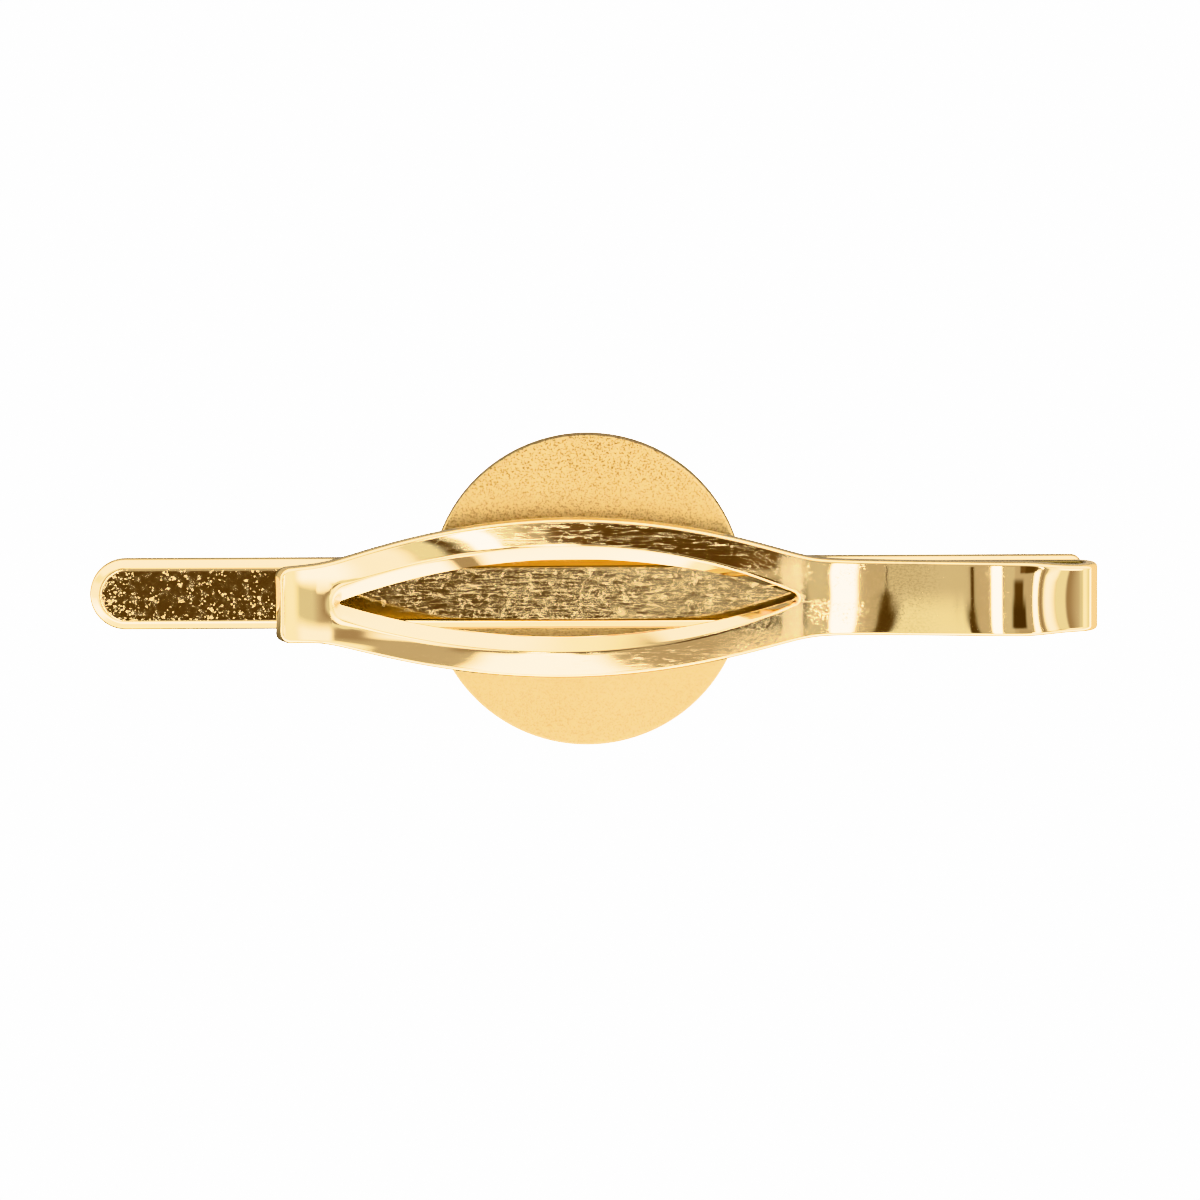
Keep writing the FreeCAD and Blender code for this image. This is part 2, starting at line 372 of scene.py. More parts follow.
def bevel_almond(share):
    """The almond at a share of the bevel: 0 is the bevel's outer edge, and 1 the hole."""
    heel = eye_length / 2 + bevel_heel_width * (1 - share)
    nose = eye_length / 2 + bevel_nose_width * (1 - share)
    half_width = eye_width / 2 + bevel_width * (1 - share)
    heel_radius = bevel_heel_radius + (eye_heel_radius - bevel_heel_radius) * share
    nose_radius = bevel_nose_radius + (eye_nose_radius - bevel_nose_radius) * share
    return heel, nose, half_width, heel_radius, nose_radius


def eye_ring(x, share):
    """Half the width at x of the almond at a share of the bevel, and zero outside it."""
    almond = bevel_almond(share)
    half_width = almond[2]
    offset, reach, tip, centre, radius = almond_arcs(x, *almond)
    touch = radius * centre / np.hypot(centre, radius - half_width)
    side = half_width - radius + np.sqrt(np.maximum(radius ** 2 - offset ** 2, 0))
    tip_side = np.sqrt(np.maximum(tip ** 2 - (offset - centre) ** 2, 0))
    return np.where(offset <= touch, side, np.where(offset < reach, tip_side, 0))


def outside_bevel(x, across):
    """How far outside the bevel's outer edge each point lies, and below zero inside it."""
    almond = bevel_almond(0)
    offset, _, tip, centre, radius = almond_arcs(x, *almond)
    drop = radius - almond[2]
    on_side = centre * (across + drop) > drop * offset
    to_side = np.hypot(offset, across + drop) - radius
    return np.where(on_side, to_side, np.hypot(offset - centre, across) - tip)


def bevel_share_at(x, across):
    """How far down the bevel each point lies, found by halving. Outside it is below zero."""
    low = np.zeros(np.broadcast_shapes(x.shape, across.shape))
    high = np.ones_like(low)
    for _ in range(halvings):
        middle = (low + high) / 2
        inside = eye_ring(x, middle) > across + halving_margin
        low = np.where(inside, middle, low)
        high = np.where(inside, high, middle)
    return low - np.maximum(outside_bevel(x, across), 0) / bevel_width


def strip_half_width(x):
    """Half the arm's width: narrow at the fold, then the arm's own, swelled round the eye."""
    ease = smoothstep(0, 1, (bend_end_x - x) / arm_taper_length)
    strip = (foot_width + (arm_width - foot_width) * ease) / 2
    swell = eye_outer_width / 2 - (x - eye_x) ** 2 / (2 * eye_outer_radius)
    return (strip + swell + np.sqrt((strip - swell) ** 2 + eye_blend ** 2)) / 2


def round_off(distance, radius):
    """How far a rounded edge has fallen at a distance before the edge."""
    inside = np.clip(radius - distance, 0, radius)
    return radius - np.sqrt(radius ** 2 - inside ** 2)


def arm_stations():
    """Places and tangents along the arm, closer together at the eye's ends and at the tip."""
    place, tangent, run = arm_profile()
    total = run[-1]
    quarter = quarter_turn(apex_count)

    def length_at(x):
        return np.interp(-x, -place[:, 0], run)

    wanted = [np.arange(arm_start, total, arm_step)]
    apexes = [
        (eye_heel_x, eye_heel_radius, -1),
        (eye_nose_x, eye_nose_radius, 1),
        (bevel_heel_x, bevel_heel_radius, -1),
        (bevel_nose_x, bevel_nose_radius, 1),
    ]
    for apex, radius, inward in apexes:
        wanted.append(length_at(apex + inward * radius * (1 - np.cos(quarter))))
    half = eye_length / 2
    fine_spans = [
        (-half - bevel_nose_width - apex_margin, -half + nose_inside),
        (half - heel_inside, half + bevel_heel_width + apex_margin),
    ]
    for low, high in fine_spans:
        wanted.append(length_at(eye_x + np.arange(low, high, apex_step)))
    for radius in (tip_corner_radius, tip_edge_radius):
        wanted.append(total - radius * (1 - np.sin(quarter)))
    at = np.unique(np.round(np.concatenate(wanted), station_digits))
    return [np.stack([np.interp(at, run, v[:, i]) for i in range(2)], 1) for v in (place, tangent)]


def strip_stations():
    """Stations from the foot's end to the tip: place, tangent and length of the outer face."""
    foot_x = np.concatenate([
        foot_low.x + tip_edge_radius * (1 - np.cos(quarter_turn(edge_count))),
        np.linspace(foot_low.x + foot_start, hinge.x, foot_count),
    ])
    foot_place = np.stack([foot_x, np.full_like(foot_x, foot_low.z)], 1)
    foot_tangent = np.tile([1.0, 0.0], (len(foot_x), 1))
    turn = np.linspace(0, math.pi - bend_lean, fold_count)[1:]
    fold_place = np.stack([hinge.x + bend_radius * np.sin(turn),
                           hinge.z - bend_radius * np.cos(turn)], 1)
    fold_tangent = np.stack([np.cos(turn), np.sin(turn)], 1)
    arm_place, arm_tangent = arm_stations()
    place = np.concatenate([foot_place, fold_place, arm_place])
    tangent = np.concatenate([foot_tangent, fold_tangent, arm_tangent])
    is_arm = np.arange(len(place)) >= len(foot_place) + len(fold_place)
    return place, tangent, running_length(place), is_arm


def strip_section(x, length, is_arm):
    """The skin of the strip's +Y half, one row of points a station, and the hole's half width.

    A row runs from the hole over the bevel and the face, round the edge, back along the underside
    and up the hole's wall. Each point has a distance from the middle and a height.
    """
    to_tip = length[-1] - length
    width = np.where(is_arm, strip_half_width(x), foot_width / 2)
    width = width - round_off(to_tip, tip_corner_radius)
    hole = np.where(is_arm, eye_ring(x, 1), 0)
    rim = np.where(is_arm, eye_ring(x, 0), 0)
    depth = np.where(is_arm, bevel_depth, 0)
    spread = np.clip((2 * width - arm_width) / (eye_outer_width - arm_width), 0, 1)
    ease = np.where(is_arm, smoothstep(0, arm_taper_length, bend_end_x - x), 0)
    crown = eye_crown * np.where(is_arm, spread, 0) + face_crown * ease
    shoulder = strip_shoulder_drop * ease
    fall = round_off(np.minimum(to_tip, length), tip_edge_radius)
    to_nose = smoothstep(0, 1, (bevel_nose_x + nose_crease_reach - x) / nose_crease_reach)
    to_heel = smoothstep(0, 1, (x - bevel_heel_x + nose_crease_reach) / nose_crease_reach)
    crease = crease_softness + (nose_crease_softness - crease_softness) * to_nose
    rim = np.hypot(rim, bevel_column_spread * np.maximum(to_nose, to_heel))

    values = (x, width, hole, rim, depth, crown, shoulder, fall, crease)
    x, width, hole, rim, depth, crown, shoulder, fall, crease = (v[:, None] for v in values)
    reach = np.maximum(width - strip_edge_radius, least_reach)
    under_reach = np.maximum(width - strip_under_radius, least_reach)
    under_radius = np.minimum(eye_under_radius, hole / 2)

    def bow(across):
        share = across / width
        return crown * (level_share ** 2 - share ** 2) - shoulder * share ** strip_shoulder_power

    def outer_face(across):
        into = bevel_share_at(x, across)
        soft = np.clip(into + crease, 0, 2 * crease) ** 2 / (4 * crease)
        return bow(across) - depth * np.maximum(soft, into) - fall

    def under_face(across):
        return -strip_thickness + bow(across) + fall

    arc = quarter_turn(edge_count)[1:]
    back_arc = arc[::-1]
    inner = under_face(hole + under_radius)
    wall_low = inner + under_radius
    wall_high = outer_face(hole)
    bevel_across = hole + (rim - hole) * bevel_columns
    face_across = rim + np.maximum(reach - rim, 0) * face_columns
    under_across = hole + under_radius + (under_reach - hole - under_radius) * under_columns
    columns = [
        (bevel_across, outer_face(bevel_across)),
        (face_across, outer_face(face_across)),
        (reach + strip_edge_radius * np.sin(arc),
         outer_face(reach) - strip_edge_radius * (1 - np.cos(arc))),
        (under_reach + strip_under_radius * np.sin(back_arc),
         under_face(under_reach) + strip_under_radius * (1 - np.cos(back_arc))),
        (under_across, under_face(under_across)),
        (hole + under_radius * (1 - np.sin(arc)), inner + under_radius * (1 - np.cos(arc))),
        (hole + 0 * wall_columns, wall_low + (wall_high - wall_low) * wall_columns),
    ]
    across, height = (np.concatenate(rows, 1) for rows in zip(*columns))
    return across, height, hole[:, 0]


def make_spring_strip():
    """The whole spring: foot, fold and pierced arm in one smooth strip of even thickness."""
    place, tangent, length, is_arm = strip_stations()
    across, height, hole = strip_section(place[:, 0], length, is_arm)
    count, around = across.shape
    wall_start = around - len(wall_columns) - edge_count
    normal = np.stack([tangent[:, 1], -tangent[:, 0]], 1)
    height = height + ridge_height * peak(length, ridge_length, ridge_reach)[:, None]
    pinch = peak(length, pinch_length, pinch_reach)[:, None] * smoothstep(*pinch_side, across)
    points, places, faces = [], [], []
    for side in (1, -1):
        level = height - pinch_depth * pinch if side > 0 else height
        spot = np.empty((count, around, 3))
        spot[..., 0] = place[:, :1] + normal[:, :1] * level
        spot[..., 1] = side * across
        spot[..., 2] = place[:, 1:] + normal[:, 1:] * level
        along = np.broadcast_to(length[:, None], height.shape)
        base = len(points) * count * around
        points.append(spot.reshape(-1, 3))
        places.append(np.stack([along, side * across, height], -1).reshape(-1, 3))
        for i in range(count - 1):
            closed = hole[i] <= 0 and hole[i + 1] <= 0
            for j in range(around):
                if closed and j >= wall_start:
                    continue
                k = (j + 1) % around
                a = base + i * around
                faces.append((a + j, a + k, a + around + k, a + around + j))
    mesh = make_mesh("spring_strip", np.concatenate(points), faces, np.concatenate(places))
    return link_object("spring_strip", mesh)


def bar_ring(inset, height):
    """One turn round the bar's outline, drawn in by inset: round left end, square right end."""
    full_half = (bar_high.y - bar_low.y) / 2
    half = full_half - inset
    turn_x = bar_low.x + full_half
    right = bar_high.x - inset
    corner = max(bar_corner_radius - inset, bar_least_corner)
    round_end = np.linspace(math.pi / 2, 3 * math.pi / 2, bar_round_count)
    low_corner = np.linspace(-math.pi / 2, 0, bar_corner_count)
    high_corner = low_corner + math.pi / 2
    run = np.linspace(turn_x, right - corner, bar_run_count)[1:-1]
    rise = np.linspace(corner - half, half - corner, bar_end_count)[1:-1]
    x = np.concatenate([
        turn_x + half * np.cos(round_end),
        run,
        right - corner + corner * np.cos(low_corner),
        np.full_like(rise, right),
        right - corner + corner * np.cos(high_corner),
        run[::-1],
    ])
    y = np.concatenate([
        half * np.sin(round_end),
        np.full_like(run, -half),
        corner - half + corner * np.sin(low_corner),
        rise,
        half - corner + corner * np.sin(high_corner),
        np.full_like(run, half),
    ])
    return np.stack([x, y, np.full_like(x, height)], 1)


def make_front_bar():
    """The bar: eased front edges, upright sides and a softly rounded bevel round the back."""
    front, edge, crest = bar_front_radius, bar_edge_radius, bar_crest_radius
    shoulder = bar_high.z - bar_bevel_depth
    lean = math.atan2(bar_bevel_depth, bar_bevel_width)
    bend = math.pi / 2 - lean
    reach = edge * math.tan(bend / 2)
    ease = crest * math.tan(lean / 2)
    profile = [(front * bar_front_share, bar_low.z)]
    for a in quarter_turn(edge_count):
        profile.append((front * (1 - math.sin(a)), bar_low.z + front * (1 - math.cos(a))))
    for a in np.linspace(0, bend, bar_ease_count):
        profile.append((edge * (1 - math.cos(a)), shoulder - reach + edge * math.sin(a)))
    for share in bar_bevel_columns:
        profile.append((bar_bevel_width * share, shoulder + bar_bevel_depth * share))
    for a in np.linspace(lean, 0, bar_ease_count):
        profile.append((bar_bevel_width + ease - crest * math.sin(a),
                        bar_high.z - crest * (1 - math.cos(a))))
    profile.append((bar_bevel_width + ease + bar_back_margin, bar_high.z))
    return make_ringed("bar_body", [bar_ring(inset, height) for inset, height in profile])


def make_disc():
    """The disc: a satin plate with eased edges, and on its front a plain field in a low rim."""
    radius = (disc_high.x - disc_low.x) / 2
    thickness = disc_high.z - disc_low.z
    centre_x = (disc_low.x + disc_high.x) / 2
    field = radius - disc_rim_width
    edge = disc_edge_radius
    arc = [(math.sin(a), math.cos(a)) for a in quarter_turn(edge_count)]
    profile = [(field * share, disc_rim_height) for share in disc_field_columns]
    profile += [(field + edge * s - edge, disc_rim_height - edge / 2 * (1 - c)) for s, c in arc]
    profile += [(field + edge * (1 - c), edge * (1 - s)) for s, c in arc]
    profile += [(radius - edge + edge * s, edge * (1 - c)) for s, c in arc]
    profile += [(radius - edge + edge * c, thickness - edge + edge * s) for s, c in arc]
    profile += [(radius * share, thickness) for share in disc_back_columns]
    turn = np.linspace(0, 2 * math.pi, disc_count + 1)[:-1]
    rings = []
    for r, z in profile:
        level = np.full_like(turn, disc_low.z + z)
        rings.append(np.stack([centre_x + r * np.cos(turn), r * np.sin(turn), level], 1))
    return make_ringed("disc_plate", rings)


class Nodes:
    """A node tree that is built by short calls. An input is a value or another node's output."""

    def __init__(self, tree):
        self.tree = tree

    def add(self, kind, inputs=None, **settings):
        """A new node with its settings made and its inputs fed."""
        node = self.tree.nodes.new(kind)
        for key, value in settings.items():
            setattr(node, key, value)
        for key, value in (inputs or {}).items():
            self.feed(node.inputs[key], value)
        return node

    def feed(self, socket, value):
        """Links a node's output to the socket, or sets the socket's own value."""
        if isinstance(value, bpy.types.NodeSocket):
            self.tree.links.new(value, socket)
        else:
            socket.default_value = value

    def math(self, operation, *values):
        """One step of arithmetic."""
        return self.add("ShaderNodeMath", dict(enumerate(values)), operation=operation).outputs[0]

    def plus(self, first, second):
        """The sum of two values."""
        return self.math("ADD", first, second)

    def times(self, first, *others):
        """The product of all values."""
        for other in others:
            first = self.math("MULTIPLY", first, other)
        return first

    def most(self, first, *others):
        """The largest of all values."""
        for other in others:
            first = self.math("MAXIMUM", first, other)
        return first

    def ramp(self, value, low, high, to_low=0.0, to_high=1.0):
        """Eases from to_low to to_high as value goes from low to high."""
        inputs = {"Value": value, "From Min": low, "From Max": high,
                  "To Min": to_low, "To Max": to_high}
        return self.add("ShaderNodeMapRange", inputs, interpolation_type="SMOOTHSTEP").outputs[0]

    def band(self, value, low, high, soft, high_soft=None):
        """One from low to high, easing to zero over soft outside them, or high_soft above high."""
        fall = soft if high_soft is None else high_soft
        return self.times(self.ramp(value, low - soft, low),
                          self.ramp(value, high, high + fall, 1.0, 0.0))

    def mix(self, share, first, second):
        """A colour that is first at share 0 and second at share 1."""
        node = self.add("ShaderNodeMix", data_type="RGBA")
        self.feed(node.inputs[0], share)
        self.feed(node.inputs[6], first)
        self.feed(node.inputs[7], second)
        return node.outputs[2]

    def stretch(self, vector, scale):
        """The vector times scale, each along its own axis."""
        inputs = {0: vector, 1: scale}
        return self.add("ShaderNodeVectorMath", inputs, operation="MULTIPLY").outputs[0]

    def split(self, vector):
        """The vector's three values."""
        return self.add("ShaderNodeSeparateXYZ", {0: vector}).outputs

    def dots(self, vector, density, outer=0.46, inner=0.22):
        """Small round dots, one in each cell whose own random number is under density."""
        cells = self.add("ShaderNodeTexVoronoi", {"Vector": vector, "Scale": 1.0})
        chance = self.split(cells.outputs["Color"])[0]
        there = self.ramp(self.math("SUBTRACT", density, chance), -0.02, 0.06)
        return self.times(there, self.ramp(cells.outputs["Distance"], outer, inner))

    def jolt(self, vector, amount, scale=6.0):
        """Moves each point by up to about amount, so that patterns lose their even shapes."""
        inputs = {"Vector": vector, "Scale": scale, "Detail": 1.0}
        noise = self.add("ShaderNodeTexNoise", inputs)
        away = self.stretch(noise.outputs["Color"], (amount, amount, amount))
        return self.add("ShaderNodeVectorMath", {0: vector, 1: away}, operation="ADD").outputs[0]

    def noise(self, vector, scale=1.0, detail=2.0, roughness=0.5):
        """A cloudy pattern of values about one half."""
        inputs = {"Vector": vector, "Scale": scale, "Detail": detail, "Roughness": roughness}
        return self.add("ShaderNodeTexNoise", inputs).outputs[0]


def new_material(name):
    """A metal material, with its node tree and its shader."""
    material = bpy.data.materials.new(name)
    material.use_nodes = True
    nodes = Nodes(material.node_tree)
    shader = material.node_tree.nodes["Principled BSDF"]
    shader.inputs["Metallic"].default_value = 1.0
    return material, nodes, shader


def place_in_mm(nodes):
    """The place on a piece, in millimetres of the shared frame."""
    place = nodes.add("ShaderNodeTexCoord").outputs["Object"]
    return nodes.stretch(place, (1 / MM, 1 / MM, 1 / MM))


def finish_metal(nodes, shader, colour, roughness, height, depth_mm):
    """Feeds a metal shader. The height goes from 0 to 1 and stands depth_mm tall."""
    inputs = {"Strength": 1.0, "Distance": depth_mm * MM, "Height": height}
    bump = nodes.add("ShaderNodeBump", inputs)
    nodes.feed(shader.inputs["Base Color"], colour)
    nodes.feed(shader.inputs["Roughness"], roughness)
    nodes.feed(shader.inputs["Normal"], bump.outputs[0])


def make_strip_gold():
    """Polished plate: scratched lengthwise on the legs, specked at the heel, rougher underneath
    and darkened there with painted shade.
    """
    material, nodes, shader = new_material("strip_gold")
    place = nodes.add("ShaderNodeAttribute", attribute_name=STRIP_PLACE).outputs["Vector"]
    length, side, height = nodes.split(place)
    across = nodes.math("ABSOLUTE", side)

    # Zones: the legs beside the eye, the heel before it, and the underside
    legs = nodes.times(nodes.ramp(across, 1.9, 2.6),
                       nodes.ramp(length, legs_clear_from, legs_worn_to, 0.1, 1.0))
    heel = nodes.band(length, *heel_span, soft=2.5)
    under = nodes.ramp(height, -0.55, -0.7)

    # Patterns: scratches are drawn out lengthwise, nicks hardly
    long = nodes.noise(nodes.stretch(place, (0.2, 8.0, 8.0)), detail=3.0, roughness=0.6)
    short = nodes.noise(nodes.stretch(place, (1.1, 13.0, 13.0)), detail=3.0, roughness=0.7)
    wave = nodes.noise(nodes.stretch(place, (0.25, 0.5, 0.5)), detail=1.0)
    patch = nodes.noise(place, scale=0.8, roughness=0.6)
    nicks = nodes.noise(nodes.stretch(place, (6.5, 9.0, 6.5)), detail=4.0, roughness=0.75)

    # Wear, which dulls the shine
    rubbed = nodes.plus(nodes.ramp(long, 0.5, 0.68, 0.0, 0.5), nodes.ramp(short, 0.53, 0.68))
    rubbed = nodes.times(rubbed, nodes.ramp(side, -0.5, 0.5, 0.4, 1.0), legs)
    marked = nodes.plus(nicks, nodes.ramp(patch, 0.35, 0.65, -0.08, 0.04))
    specks = nodes.times(nodes.ramp(marked, 0.555, 0.63), nodes.ramp(heel, 0.0, 1.0, 0.1, 0.8))
    low_heel = nodes.times(nodes.band(length, *low_heel_span, soft=0.9, high_soft=5.0),
                           nodes.ramp(side, 0.2, -0.8), nodes.ramp(nicks, 0.36, 0.62, 0.4, 1.0))
    heel_wear = nodes.most(nodes.band(length, *heel_line_span, soft=0.8), low_heel)
    nose_wear = nodes.times(nodes.band(length, *nose_wear_span, soft=0.1),
                            nodes.ramp(across, 1.0, 0.7))
    pinch_wear = nodes.band(length, pinch_length - pinch_wear_half,
                            pinch_length + pinch_wear_half, soft=0.12)
    pinch_wear = nodes.times(pinch_wear, nodes.ramp(side, 0.0, 0.7, 0.0, 0.14))
    worn = nodes.most(rubbed, specks, nodes.times(heel_wear, 0.65), nose_wear, pinch_wear,
                      nodes.times(under, 1.5))
    roughness = nodes.plus(nodes.times(worn, 0.2), 0.02)

    # Tone: stained before the heel, and painted shade underneath, darkest in the middle above the
    # bar and lighter at the sides
    stained = nodes.times(nodes.band(length, *stain_span, soft=2.0), nodes.ramp(nicks, 0.42, 0.62))
    tone = nodes.mix(wave, strip_deep, strip_pale)
    tone = nodes.mix(nodes.times(stained, 0.4), tone, strip_stain)
    shaded = nodes.mix(nodes.ramp(across, 2.6, 3.3), strip_under_shade_middle, strip_under_shade_side)
    tone = nodes.mix(under, tone, shaded)
    finish_metal(nodes, shader, tone, roughness, nodes.times(long, legs), depth_mm=0.00006)
    return material


def make_bar_gold():
    """Bright plate with a pitted back: specks on a dark shine, rubbed lengthwise under the eye."""
    material, nodes, shader = new_material("bar_gold")
    place = place_in_mm(nodes)
    x, y, z = nodes.split(place)
    under_eye = nodes.ramp(x, -14.5, -9.0)
    back = nodes.ramp(z, bar_high.z - 0.06, bar_high.z - 0.01)

    # Specks of two sizes, denser towards -Y and at the round end
    patch = nodes.noise(place, scale=0.9, detail=3.0, roughness=0.6)
    density = nodes.plus(nodes.ramp(patch, 0.35, 0.7, 0.0, 0.6),
                         nodes.ramp(y, 0.4, -1.4, 0.0, 0.25))
    density = nodes.plus(density, nodes.ramp(x, -24.6, -26.0, 0.0, 0.6))
    uneven = nodes.jolt(place, 0.1)
    small = nodes.dots(nodes.stretch(uneven, (6.4, 7.6, 1.0)), density)
    large = nodes.dots(nodes.stretch(uneven, (3.1, 3.9, 1.0)), nodes.times(density, 0.5))
    specks = nodes.times(nodes.most(small, large), nodes.ramp(under_eye, 0.0, 1.0, 1.0, 0.5))

    # Brushing under the eye, paler towards +X
    fine = nodes.noise(place, scale=8.0, detail=3.0, roughness=0.75)
    brush = nodes.noise(nodes.stretch(place, (1.0, 17.0, 1.0)), detail=3.0, roughness=0.65)
    rubbed = nodes.plus(nodes.times(fine, 0.33), nodes.times(brush, 0.67))
    paler = nodes.plus(rubbed, nodes.ramp(x, -9.0, 2.0, -0.02, 0.015))
    rubbed = nodes.times(nodes.ramp(paler, 0.465, 0.53), under_eye)

    worn = nodes.times(nodes.most(specks, nodes.times(rubbed, 0.46)), back)
    tone = nodes.mix(worn, bar_bright, bar_worn)
    mottled = nodes.noise(place, scale=2.6, detail=3.0, roughness=0.7)
    mottled = nodes.ramp(mottled, 0.46, 0.66, 0.045, 0.1)
    roughness = nodes.plus(nodes.times(worn, 0.2), mottled)
    finish_metal(nodes, shader, tone, roughness, fine, depth_mm=0.0001)
    return material


def make_satin_gold():
    """Satin plate with fine dark pits, more of them towards its edge and on its upper half."""
    material, nodes, shader = new_material("satin_gold")
    place = place_in_mm(nodes)
    y = nodes.split(place)[1]
    grain = nodes.noise(place, scale=9.0, roughness=0.7)
    cloud = nodes.noise(place, scale=0.35, detail=3.0, roughness=0.55)
    outward = nodes.ramp(nodes.math("ABSOLUTE", y), 3.5, 7.5, 0.55, 1.0)
    upper = nodes.ramp(y, -3.0, 5.0, 0.45, 1.0)
    pits = nodes.times(nodes.ramp(grain, 0.55, 0.37), outward, upper)
    tone = nodes.mix(pits, nodes.mix(cloud, satin_deep, satin_pale), satin_pit)
    roughness = nodes.ramp(grain, 0.3, 0.7, 0.36, 0.44)
    finish_metal(nodes, shader, tone, roughness, grain, depth_mm=0.01)
    return material


def make_solder():
    """Dull, slightly lumpy solder."""
    material, nodes, shader = new_material("solder")
    lumps = nodes.noise(place_in_mm(nodes), scale=3.0, detail=3.0, roughness=0.6)
    tone = nodes.mix(lumps, solder_deep, solder_pale)
    roughness = nodes.ramp(lumps, 0.3, 0.7, 0.4, 0.6)
    finish_metal(nodes, shader, tone, roughness, lumps, depth_mm=0.02)
    return material


def dress(piece, material, slot, *replaced):
    """Gives a piece its material, and hides the nodes it stands for. The slot is not used."""
    piece.data.materials.append(material)
    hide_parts(*replaced)


def make_floor():
    """A sheet under the clip: white to the camera, and in the clip's reflections an uneven grey of
    painted shade, darkest near the clip towards -Y and paler towards +X.
    """
    half = 0.6
    glow = 8.0
    mesh = bpy.data.meshes.new("floor")
    corners = [(-half, -half, 0), (half, -half, 0), (half, half, 0), (-half, half, 0)]
    mesh.from_pydata(corners, [], [(0, 1, 2, 3)])
    floor = link_object("floor", mesh)
    material, nodes, shader = new_material("pale_floor")
    place = place_in_mm(nodes)
    x, y = nodes.split(place)[:2]
    seen = nodes.add("ShaderNodeLightPath").outputs["Is Camera Ray"]
    # Painted shade seen only in reflections: uneven grey, darkened near the clip towards -Y and
    # paler towards +X
    shade = nodes.mix(nodes.noise(place, scale=0.2, detail=3.0), floor_shade_deep, floor_shade_pale)
    shade = nodes.mix(nodes.ramp(y, -2.0, -4.5, 0.0, 0.85), shade, floor_shade_near)
    shade = nodes.mix(nodes.ramp(x, 27.5, 32.0), shade, floor_shade_right)
    nodes.feed(shader.inputs["Base Color"], nodes.mix(seen, shade, floor_seen))
    nodes.feed(shader.inputs["Emission Strength"], nodes.times(seen, glow))
    shader.inputs["Emission Color"].default_value = (1, 1, 1, 1)
    shader.inputs["Metallic"].default_value = 0.0
    shader.inputs["Roughness"].default_value = 0.9
    shader.inputs["Specular IOR Level"].default_value = 0.1
    mesh.materials.append(material)


def tint(level):
    """A light level as a colour: the dim ones are warm, the bright ones white."""
    white_above = 3
    full_share = 0.85
    green, green_gain = 0.52, 0.565
    blue, blue_gain = 0.28, 0.72
    if level > white_above:
        return (level, level, level, 1)
    share = min(level, full_share)
    return (level, level * (green + green_gain * share), level * (blue + blue_gain * share), 1)


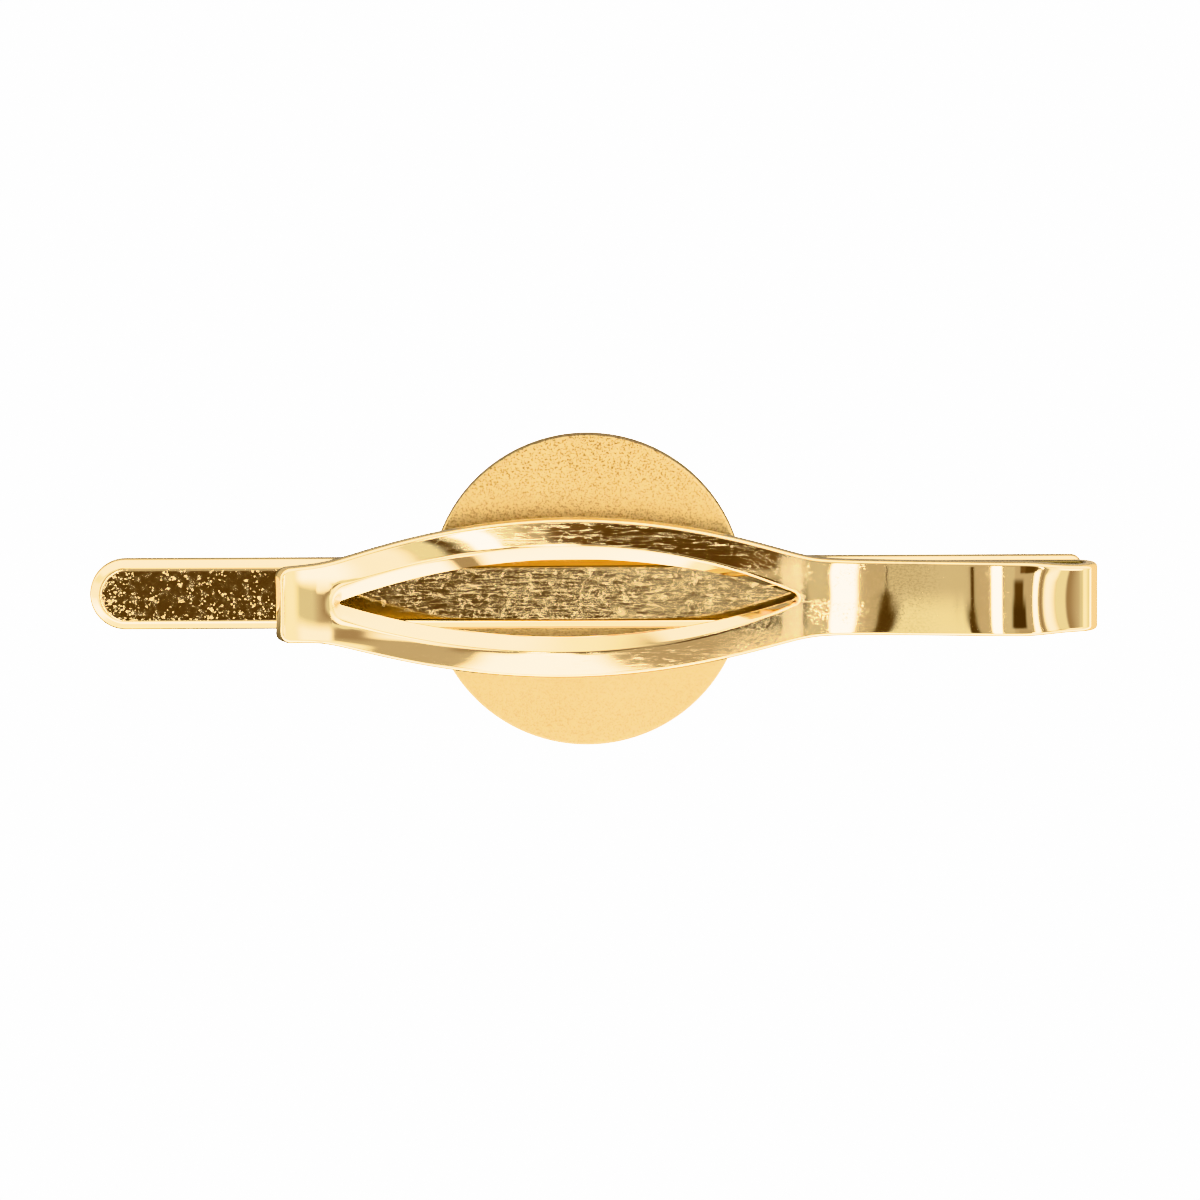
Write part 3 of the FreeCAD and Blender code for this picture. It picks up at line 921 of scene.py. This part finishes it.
def make_studio():
    """A light tent round the clip. Lit strips, dark gaps and soft grey cards make up its roof."""
    world = bpy.data.worlds.new("studio")
    bpy.context.scene.world = world
    world.use_nodes = True
    tree = world.node_tree
    nodes = Nodes(tree)
    x, y, z = nodes.split(nodes.add("ShaderNodeTexCoord").outputs["Generated"])
    to_degrees = 180 / math.pi
    along = nodes.times(nodes.math("ARCTAN2", x, z), to_degrees)
    across = nodes.times(nodes.math("ARCTAN2", y, z), to_degrees)

    def fade(light, level, angle, start, end):
        """The light, going over to level as angle goes from start to end."""
        return nodes.mix(nodes.ramp(angle, start, end), light, tint(level))

    def lay(light, level, along_span, across_span, soft=0.5, side_soft=3.0, end_soft=None):
        """One card of the roof: its spans are degrees off the top, towards +X and towards +Y."""
        there = nodes.times(nodes.band(along, *along_span, soft, end_soft),
                            nodes.band(across, *across_span, side_soft))
        return nodes.mix(there, light, tint(level))

    # The tent's ends
    light = fade(tint(0.62), 3.2, along, -28.0, -50.0)
    light = fade(light, 0.8, along, 23.0, 28.0)
    light = fade(light, 2.4, along, 37.0, 47.0)
    light = fade(light, 1.0, along, 52.0, 70.0)

    # The tent's far side, and its near side with a dim card
    far_side = fade(tint(0.6), 2.6, along, -12.0, 4.0)
    far_side = fade(far_side, 5.0, along, 4.0, 15.0)
    far_side = fade(far_side, 1.8, along, -14.0, -26.0)
    far_side = fade(far_side, 4.0, across, 48.0, 54.0)
    light = nodes.mix(nodes.ramp(across, 26.0, 40.0), light, far_side)
    light = fade(light, 7.0, across, -36.0, -54.0)
    light = fade(light, 12.0, across, -56.0, -70.0)
    light = fade(light, 3.0, across, -74.0, -80.0)
    light = fade(light, 0.3, across, -83.0, -89.0)
    light = lay(light, 0.5, (26.0, 29.0), (-90.0, -58.0), soft=4.0)

    # The roof above the lip: bright cards, and a small dim one among them
    light = lay(light, 3.3, (11.2, 24.0), (-7.0, 16.0), soft=1.6, side_soft=1.4)
    light = lay(light, 9.0, (17.5, 33.0), (-1.5, 14.0), soft=4.0, side_soft=6.5, end_soft=12.0)
    light = lay(light, 4.5, (20.5, 33.0), (-28.0, -19.5), soft=3.0, side_soft=6.0, end_soft=14.0)
    light = lay(light, 3.0, (14.5, 20.0), (-36.0, -27.0), soft=2.0, side_soft=3.0, end_soft=3.0)
    light = lay(light, 0.42, (20.0, 20.3), (-11.0, -9.5), soft=2.8, side_soft=4.0, end_soft=4.0)

    # The roof above the heel and the crest: grey cards, a dark line, a bright strip, a dark gap,
    # and a second bright strip with a dim line and soft glows behind it
    light = lay(light, 0.72, (-5.3, -3.1), (-26.0, 6.0), soft=0.8)
    light = lay(light, 0.72, (-30.0, -9.7), (-40.0, 20.0), soft=0.2)
    light = lay(light, 1.1, (-30.0, -9.95), (-30.0, -13.0), soft=0.25, side_soft=6.0)
    light = lay(light, 0.1, (-9.35, -9.25), (-24.0, 3.0), soft=0.3)
    light = lay(light, 0.1, (-9.6, -9.15), (-24.0, -13.0), soft=0.25, side_soft=4.0)
    light = lay(light, 24.0, (-7.65, -6.35), (-30.0, 10.0), soft=0.35)
    light = lay(light, 0.12, (-2.3, -0.3), (-16.5, -7.0), soft=1.4, side_soft=3.0)
    light = lay(light, 0.08, (-2.6, 1.0), (-16.5, -11.5), soft=1.4, side_soft=3.5)
    light = lay(light, 12.0, (5.4, 6.5), (-32.0, -3.0), soft=0.8)
    light = lay(light, 0.42, (8.3, 8.5), (-22.0, -3.0), soft=0.7)
    light = lay(light, 5.0, (11.0, 11.6), (-19.0, -6.0), soft=1.8, side_soft=2.0, end_soft=4.0)
    light = lay(light, 1.0, (15.5, 18.5), (-15.0, -6.0), soft=1.5, side_soft=2.0)

    # The roof above the upper leg: a dark gap, then a bright strip and a dark line on a grey card
    light = lay(light, 0.2, (-0.6, 5.3), (-1.0, 14.0), soft=0.7, side_soft=2.0)
    light = lay(light, 0.12, (1.4, 4.0), (-1.0, 14.0), soft=1.0, side_soft=2.0)
    light = lay(light, 0.95, (6.6, 9.8), (2.5, 14.0), soft=0.5, side_soft=1.5)
    light = lay(light, 24.0, (7.15, 7.65), (2.0, 16.0), soft=0.2)
    light = lay(light, 0.13, (8.35, 8.5), (2.0, 12.0), soft=0.5)

    # The roof above the lower leg: a bright strip between two dim cards
    light = lay(light, 10.0, (4.9, 7.3), (-36.0, -25.0), soft=0.9)
    light = lay(light, 0.46, (15.4, 16.6), (-20.5, -18.0), soft=3.2, side_soft=3.5)
    light = lay(light, 0.55, (-1.0, 3.4), (-32.0, -21.0), soft=0.5)

    seen = nodes.add("ShaderNodeLightPath").outputs["Is Camera Ray"]
    background = tree.nodes["Background"]
    nodes.feed(background.inputs["Color"], nodes.mix(seen, light, tint(4.0)))
    background.inputs["Strength"].default_value = 1.0


def make_camera():
    """The photograph's view: from above the back, leaning a little towards +Y."""
    lean = math.radians(9.5)
    roll = math.radians(-0.25)
    distance = 0.8
    view_width = 64.9 * MM
    aim = Vector((0.37, -0.53, 1.2)) * MM
    back = Vector((0, math.sin(lean), math.cos(lean)))
    up = Vector((0, math.cos(lean), -math.sin(lean)))
    right = Vector((1, 0, 0))
    turned_right = right * math.cos(roll) + up * math.sin(roll)
    turned_up = up * math.cos(roll) - right * math.sin(roll)
    data = bpy.data.cameras.new("camera")
    data.sensor_width = 36.0
    data.lens = data.sensor_width * distance / view_width
    data.clip_start = 0.01
    camera = bpy.data.objects.new("camera", data)
    turn = Matrix((turned_right, turned_up, back)).transposed().to_4x4()
    camera.matrix_world = Matrix.Translation(aim + back * distance) @ turn
    bpy.context.scene.collection.objects.link(camera)
    bpy.context.scene.camera = camera


spring = make_spring_strip()
dress(spring, make_strip_gold(), "spring_gold", "spring_foot", "spring_bend", "spring_arm")
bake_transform(spring)

bar = make_front_bar()
dress(bar, make_bar_gold(), "bar_gold", "front_bar")
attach(bar, "bar")

disc = make_disc()
dress(disc, make_satin_gold(), "satin_gold", "badge_disc")
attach(disc, "bar")

solder = make_solder()
for name in ("disc_solder", "foot_solder"):
    film = frame["nodes"][name]
    film.data.materials.clear()
    film.data.materials.append(solder)

make_floor()
make_studio()
make_camera()
bpy.context.scene.view_settings.view_transform = "Khronos PBR Neutral"
